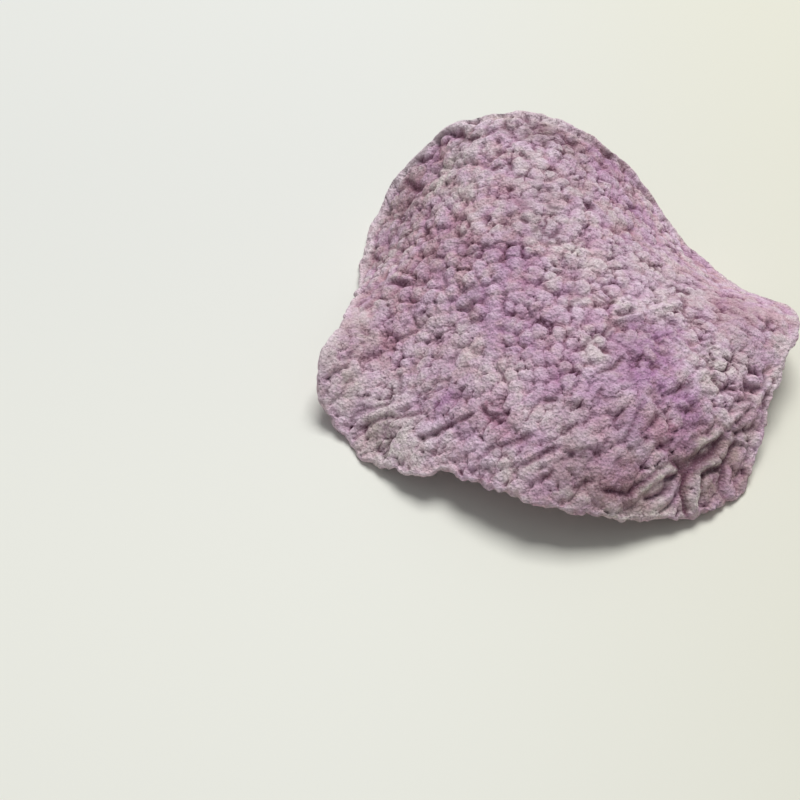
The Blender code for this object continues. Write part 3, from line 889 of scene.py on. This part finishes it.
class NearestRim:
    """What the rim is like where it is nearest to each point of the slab, and how far off it is."""

    def __init__(self, sheet, ring, angle, level):
        self.ring, self.level = ring, level
        self.around = np.stack([np.cos(angle), np.sin(angle), np.zeros_like(angle)], axis=1)
        self.reach = sheet.reach(angle)
        self.distance = (1 - ring) * self.reach
        self.x, self.y = self.reach * self.around[:, 0], self.reach * self.around[:, 1]
        self.wide = near_spot(self.x, self.y, WIDE_BAND)
        self.lip = most_of(self.x, self.y, ROLLED_LIP)
        self.beaded = most_of(self.x, self.y, BEADED)
        self.front = smooth_step(-self.y, *FRONT_EDGE)
        self.wall = fade(self.distance, WALL_WIDTH)
        self.on_edge = self.around * MEAN_REACH
        self.on_edge[:, 2] = level * THICKNESS / 2
        self.grains = even_domes(self.on_edge, EDGE_GRAIN, KNOB_PARTED)

    def places(self):
        """Where each point lies from above, out along its own direction to the rim's uneven line."""
        ragged = EDGE_GRAIN_RISE * self.grains - near_spot(self.x, self.y, NOTCH)
        for length, amount in RAGGED:
            ragged += amount * drift(self.on_edge, length)
        wander = WANDER * drift(self.around * MEAN_REACH, WANDER_LENGTH)
        rounded = EDGE_ROUNDING * np.sqrt(np.maximum(0.0, 1 - self.level ** 2)) * (self.ring > OUTERMOST)
        reach = self.reach + wander * self.ring ** 6 + ragged * fade(self.distance, RAGGED_WIDTH) + rounded
        return self.ring * reach * self.around[:, 0], self.ring * reach * self.around[:, 1]

    def half_thickness(self, height):
        """Half the sheet's thickness, thinner towards the rim but for its lip and its feet."""
        thin = THIN_EDGE * fade(self.distance, THIN_WIDTH) * (1 - np.minimum(self.wide, 1.0))
        thin *= (1 - TOP_FULLER * self.level) * (1 - LIP_FULLER * self.lip) * smooth_step(height, *FOOT)
        return THICKNESS / 2 - thin


def relief(places, sheet, rim):
    """How far the flesh stands out at each place in millimetres, and the masks that colour it."""
    bent = stray(places, STRAY_LENGTH, STRAY)
    bent = stray(bent, FINE_STRAY_LENGTH, FINE_STRAY)
    open_share = smooth_step(drift(places + OPEN_SHIFT, FUSE_LENGTH), -0.35, 0.35)
    parted = FUSED + (PARTED - FUSED) * open_share
    swell = even_domes(bent + UNDERSIDE_SHIFT, SWELL_WIDTH, SWELL_PARTED)
    grain, gap, hole, tone = grained(bent, places, GRAIN_WIDTH, parted)
    knob = grained(bent + KNOB_SHIFT, places, KNOB_WIDTH, np.full(len(bent), KNOB_PARTED))[0] - DOME_MEAN
    hole *= no_less(FUSED_HOLE, open_share)
    gap *= no_less(FUSED_GAP, open_share)
    band = PLAIN_BAND + rim.wide + LIP_BAND * rim.lip + BEAD_BAND * rim.beaded
    inside = smooth_step(rim.distance, BAND_FROM * band, BAND_TO * band)
    partly = no_less(BAND_RELIEF, inside)
    rough = SWELL_RISE * swell + GRAIN_RISE * (grain - GRAIN_MEAN) - GAP_DEPTH * gap - PIT_DEPTH * hole
    rough = (rough + KNOB_RISE * knob) * (1 - most_of(places[:, 0], places[:, 1], CALM))
    nearly = places + TRACED_STRAY * (bent - places)
    sink, dark = crease_field(nearly, traced(sheet, CREASES))
    rise, ridge = ridge_field(nearly, traced(sheet, RIDGES))
    rough *= 1 - RIDGE_PLAIN * ridge
    height = inside * rough + partly * (KNOB_RISE * 0.5 * knob + rise - sink)
    gap, hole = gap * (1 - RIDGE_PLAIN * ridge), hole * (1 - ridge)
    height += (BEAD_RISE * rim.beaded + LIP_RISE * rim.lip) * fade(rim.distance, BEAD_WIDTH)
    height -= GROOVE_DEPTH * rim.beaded * fade(rim.distance - GROOVE_AT, GROOVE_WIDTH)
    # Painted highlight and shade, with the flesh's own colour: the higher the flesh stands, the paler it is
    # painted.
    high = smooth_step(rough + RIDGE_HIGH * rise, *HIGH_FLESH)
    # The gap and pit masks paint gaps, holes and creases dark, partly as the flesh's own colour and partly
    # as painted shade.
    masks = {"gap": gap * partly, "pit": np.maximum(hole * inside, dark), "tone": tone,
             "high": 0.5 + inside * (high - 0.5)}
    return height, masks


def colour_rim(masks, rim):
    """Adds what the rim's colour goes by: its pale band and its lip, both partly painted highlight, and the
    grains of its wall, paler on their tops.
    """
    band = RIM_TINT + RIM_TINT_WIDE * rim.wide + RIM_TINT_BEADED * rim.beaded
    masks["rim"] = (1 - FRONT_DULL * rim.front) * fade(rim.distance, band)
    masks["lip"] = rim.lip * fade(rim.distance, LIP_TINT)
    masks["high"] += rim.wall * (smooth_step(rim.grains, *HIGH_EDGE) - 0.5)


def colour_flesh(masks, sheet, places, rim):
    """Adds the tints' patches and streaks, which the underside doesn't have."""
    seen = rim.level > -1
    for name, patches in TINTS.items():
        masks[name] = tint(sheet, places, patches) * seen
    for name, lines in STREAKS.items():
        masks[name] = np.maximum(masks.get(name, 0.0), streak(sheet, places, lines) * seen)
    # Painted shadow: a dark line along the foot of the front edge's wall.
    masks["painted_shade"] = np.maximum(masks["painted_shade"], FRONT_EDGE_SHADOW * rim.wall * rim.front * (rim.level < 0.5))


def place_slice(sheet, blank):
    """Carries the slab's points to the slice and gives the masks that go with them."""
    s, t, level = blank.T
    rim = NearestRim(sheet, *disc_from_square(s, t), level)
    x, y = rim.places()
    middle = np.stack([x, y, sheet.height(x, y)], axis=1)
    side = np.where(level[:, None] >= 0, 0.0, UNDERSIDE_SHIFT)
    height, masks = relief(middle + side, sheet, rim)
    half = rim.half_thickness(middle[:, 2])
    out = level * (half + np.maximum(height, -MOST_SINK * half) * level ** 2)
    placed = middle + sheet.normal(x, y) * out[:, None]
    placed[:, 2] = np.maximum(placed[:, 2], 0.0)
    colour_rim(masks, rim)
    colour_flesh(masks, sheet, middle, rim)
    return placed, masks


def blank_slab():
    """The flat slab: a fine top at 1, a plainer underside at -1 and rows of points round its edge."""
    mesh = bmesh.new()
    bmesh.ops.create_grid(mesh, x_segments=TOP_CELLS, y_segments=TOP_CELLS, size=1)
    bmesh.ops.translate(mesh, verts=mesh.verts[:], vec=(0, 0, 1))
    row = [edge for edge in mesh.edges if edge.is_boundary]
    for _ in range(EDGE_ROWS):
        grown = bmesh.ops.extrude_edge_only(mesh, edges=row)["geom"]
        points = [item for item in grown if isinstance(item, bmesh.types.BMVert)]
        bmesh.ops.translate(mesh, verts=points, vec=(0, 0, -2 / EDGE_ROWS))
        lowered = set(points)
        row = [item for item in grown if isinstance(item, bmesh.types.BMEdge)
               and all(vert in lowered for vert in item.verts)]
    before = set(mesh.verts)
    bmesh.ops.create_grid(mesh, x_segments=UNDER_CELLS, y_segments=UNDER_CELLS, size=1)
    under = [vert for vert in mesh.verts if vert not in before]
    bmesh.ops.translate(mesh, verts=under, vec=(0, 0, -1))
    border = [edge for edge in mesh.edges if edge.is_boundary and edge.verts[0] not in before]
    bmesh.ops.subdivide_edges(mesh, edges=border, cuts=1)
    bmesh.ops.remove_doubles(mesh, verts=mesh.verts[:], dist=MERGE_SHARE / TOP_CELLS)
    bmesh.ops.recalc_face_normals(mesh, faces=mesh.faces[:])
    return mesh


def build_slice():
    """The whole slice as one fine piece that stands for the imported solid."""
    noise.seed_set(STRAY_SEED)
    work = blank_slab()
    blank = np.array([vert.co for vert in work.verts])
    placed, masks = place_slice(Sheet(), blank)
    for vert, place in zip(work.verts, placed):
        vert.co = Vector(place) * MM
    bmesh.ops.triangulate(work, faces=work.faces[:])
    shape = bpy.data.meshes.new("dried_yam_slice")
    work.to_mesh(shape)
    work.free()
    for name, values in masks.items():
        layer = shape.attributes.new(name, "FLOAT", "POINT")
        layer.data.foreach_set("value", values.astype(np.float32))
    shape.shade_smooth()
    piece = bpy.data.objects.new("dried_yam_slice", shape)
    bpy.context.scene.collection.objects.link(piece)
    return piece


class Finish:
    """A material's nodes, added one by one."""

    def __init__(self, name):
        self.material = bpy.data.materials.new(name)
        self.material.use_nodes = True
        self.tree = self.material.node_tree
        self.surface = self.tree.nodes["Principled BSDF"]

    def node(self, kind, **settings):
        made = self.tree.nodes.new(kind)
        for name, value in settings.items():
            setattr(made, name, value)
        return made

    def feed(self, socket, value):
        if hasattr(value, "links"):
            self.tree.links.new(value, socket)
        else:
            socket.default_value = value

    def feed_all(self, made, **values):
        for name, value in values.items():
            self.feed(made.inputs[name], value)

    def place(self):
        return self.node("ShaderNodeTexCoord").outputs["Object"]

    def mask(self, name):
        return self.node("ShaderNodeAttribute", attribute_name=name).outputs["Fac"]

    def grain(self, scale, detail):
        made = self.node("ShaderNodeTexNoise")
        self.feed_all(made, Vector=self.place(), Scale=scale, Detail=detail, Roughness=0.6)
        return made.outputs["Fac"]

    def pebbles(self, scale):
        made = self.node("ShaderNodeTexVoronoi")
        self.feed_all(made, Vector=self.place(), Scale=scale)
        return made.outputs["Distance"]

    def between(self, value, low, high, start=0.0, end=1.0):
        """The value, stretched smoothly from the low and high marks to the start and the end."""
        made = self.node("ShaderNodeMapRange", interpolation_type="SMOOTHSTEP")
        for socket, given in zip(made.inputs, (value, low, high, start, end)):
            self.feed(socket, given)
        return made.outputs["Result"]

    def sums(self, operation, first, second):
        made = self.node("ShaderNodeMath", operation=operation)
        self.feed(made.inputs[0], first)
        self.feed(made.inputs[1], second)
        return made.outputs["Value"]

    def times(self, first, second):
        return self.sums("MULTIPLY", first, second)

    def blend(self, share, first, second):
        made = self.node("ShaderNodeMix", data_type="RGBA")
        self.feed(made.inputs["Factor"], share)
        self.feed(made.inputs[6], first)
        self.feed(made.inputs[7], second)
        return made.outputs[2]

    def bump(self, height, depth):
        made = self.node("ShaderNodeBump")
        self.feed_all(made, Height=height, Distance=depth, Strength=1.0)
        return made


def flesh_base(flesh, clouds, mottle):
    """Deep, middling and pale flesh by how high it stands, each between two hues: partly the flesh's own
    colour, partly painted highlight on the tops and painted shade in the hollows.
    """
    hue = flesh.between(flesh.grain(HUES, 2.0), 0.4, 0.6)
    pale = flesh.times(flesh.mask("tone"), 0.18)
    for field, share in ((clouds, 0.22), (mottle, 0.2), (flesh.mask("high"), 0.5)):
        pale = flesh.sums("ADD", pale, flesh.times(field, share))
    deep = flesh.blend(hue, DEEP_LILAC, DEEP_ROSE)
    light = flesh.blend(hue, PALE_LILAC, GREY_LILAC)
    middling = flesh.blend(hue, LILAC, DUSTY_ROSE)
    colour = flesh.blend(flesh.between(pale, 0.0, 0.5), deep, middling)
    return flesh.blend(flesh.between(pale, 0.45, 1.0), colour, light)


def flesh_tints(flesh, colour, clouds, mottle):
    """The tints' patches and streaks, painted shade and painted light among them, and the paler rim and
    lip, partly painted highlight.
    """
    for name, tone, strength in TINT_COLOURS:
        patchy = flesh.times(flesh.mask(name), flesh.between(mottle, 0.0, 1.0, 0.45, 1.0))
        colour = flesh.blend(flesh.times(patchy, strength), colour, tone)
    edge = flesh.times(flesh.mask("rim"), flesh.between(clouds, 0.0, 1.0, 0.3, 0.65))
    colour = flesh.blend(edge, colour, PALE_RIM_AND_HIGHLIGHT)
    return flesh.blend(flesh.mask("lip"), colour, PALE_LIP_AND_HIGHLIGHT)


def flesh_crevices(flesh, colour):
    """Dark gaps, pits and creases, partly the flesh's own colour and partly painted shade, dark pore
    specks, and pale specks that are painted glints.
    """
    specks = flesh.between(flesh.grain(SPECKS, 2.0), 0.3, 0.7)
    pore_and_glint_noise = flesh.grain(PORES_AND_GLINTS, 1.0)
    for share in (
        flesh.between(flesh.mask("gap"), 0.25, 0.95, 0.0, 0.75),
        flesh.times(flesh.mask("pit"), 0.9),
        flesh.between(specks, 0.0, 1.0, 0.24, 0.0),
        flesh.between(pore_and_glint_noise, 0.3, 0.45, 0.36, 0.0),
    ):
        colour = flesh.blend(share, colour, DARK_FLESH_AND_SHADE)
    # Pale specks: painted glints on the grains.
    return flesh.blend(flesh.between(pore_and_glint_noise, 0.58, 0.72, 0.0, 0.2), colour, PALE_LILAC)


def dried_flesh():
    """Dry starchy flesh: lilac, violet and cream grains, dark gaps between them and pale tops, the dark
    partly painted shade and the pale partly painted highlight.
    """
    flesh = Finish("dried_yam_flesh")
    clouds = flesh.between(flesh.grain(CLOUDS, 3.0), 0.36, 0.64)
    mottle = flesh.between(flesh.grain(MOTTLE, 3.0), 0.36, 0.64)
    colour = flesh_base(flesh, clouds, mottle)
    colour = flesh_tints(flesh, colour, clouds, mottle)
    colour = flesh_crevices(flesh, colour)
    rough = flesh.bump(flesh.grain(FINE_GRAIN, 3.0), FINE_DEPTH)
    pebbly = flesh.bump(flesh.pebbles(FINE_PEBBLES), FINE_DEPTH)
    flesh.feed(pebbly.inputs["Normal"], rough.outputs["Normal"])
    flesh.feed(flesh.surface.inputs["Base Color"], colour)
    flesh.feed(flesh.surface.inputs["Roughness"], FLESH_ROUGHNESS)
    flesh.feed(flesh.surface.inputs["Specular IOR Level"], FLESH_SHINE)
    flesh.feed(flesh.surface.inputs["Normal"], pebbly.outputs["Normal"])
    return flesh.material


def floor_finish():
    """A pale matt finish that is a little lighter and warmer in front, as painted light, and warmer to the
    right.
    """
    finish = Finish("pale_floor")
    split = finish.node("ShaderNodeSeparateXYZ")
    finish.feed(split.inputs[0], finish.place())
    colour = finish.blend(finish.between(split.outputs["Y"], *BACK_TO_FRONT), BACK_FLOOR, FRONT_FLOOR)
    colour = finish.blend(finish.between(split.outputs["X"], *LEFT_TO_RIGHT), colour, RIGHT_FLOOR)
    finish.feed(finish.surface.inputs["Base Color"], colour)
    finish.feed(finish.surface.inputs["Roughness"], FLOOR_ROUGHNESS)
    return finish.material


def plain_floor():
    """A wide pale floor."""
    work = bmesh.new()
    bmesh.ops.create_grid(work, x_segments=1, y_segments=1, size=FLOOR_REACH)
    shape = bpy.data.meshes.new("floor")
    work.to_mesh(shape)
    work.free()
    shape.materials.append(floor_finish())
    floor = bpy.data.objects.new("floor", shape)
    bpy.context.scene.collection.objects.link(floor)


def window_light():
    """A square lamp behind the slice that faces it, as a window would."""
    lamp = bpy.data.lights.new("window", "AREA")
    lamp.size = WINDOW_SIZE
    lamp.energy = WINDOW_POWER
    holder = bpy.data.objects.new("window", lamp)
    holder.location = WINDOW_PLACE
    holder.rotation_euler = (-Vector(WINDOW_PLACE)).to_track_quat("-Z", "Y").to_euler()
    bpy.context.scene.collection.objects.link(holder)


def studio():
    """Soft light from above and behind, with an even fill from all round."""
    world = bpy.data.worlds.new("soft_room")
    world.use_nodes = True
    sky = world.node_tree.nodes["Background"]
    sky.inputs["Color"].default_value = SKY_COLOUR
    sky.inputs["Strength"].default_value = SKY_STRENGTH
    bpy.context.scene.world = world
    window_light()
    bpy.context.scene.view_settings.view_transform = "Standard"


def camera():
    """The photographer's place."""
    lens = bpy.data.cameras.new("camera")
    lens.lens = CAMERA_LENS
    lens.sensor_width = SENSOR_WIDTH
    lens.clip_start = NEAREST_SEEN
    holder = bpy.data.objects.new("camera", lens)
    holder.location = CAMERA_PLACE
    holder.rotation_euler = (math.radians(CAMERA_TILT), 0.0, 0.0)
    bpy.context.scene.collection.objects.link(holder)
    bpy.context.scene.camera = holder


camera()
studio()
plain_floor()
yam = build_slice()
yam.data.materials.append(dried_flesh())
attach(yam, "root")
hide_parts("yam_slice")
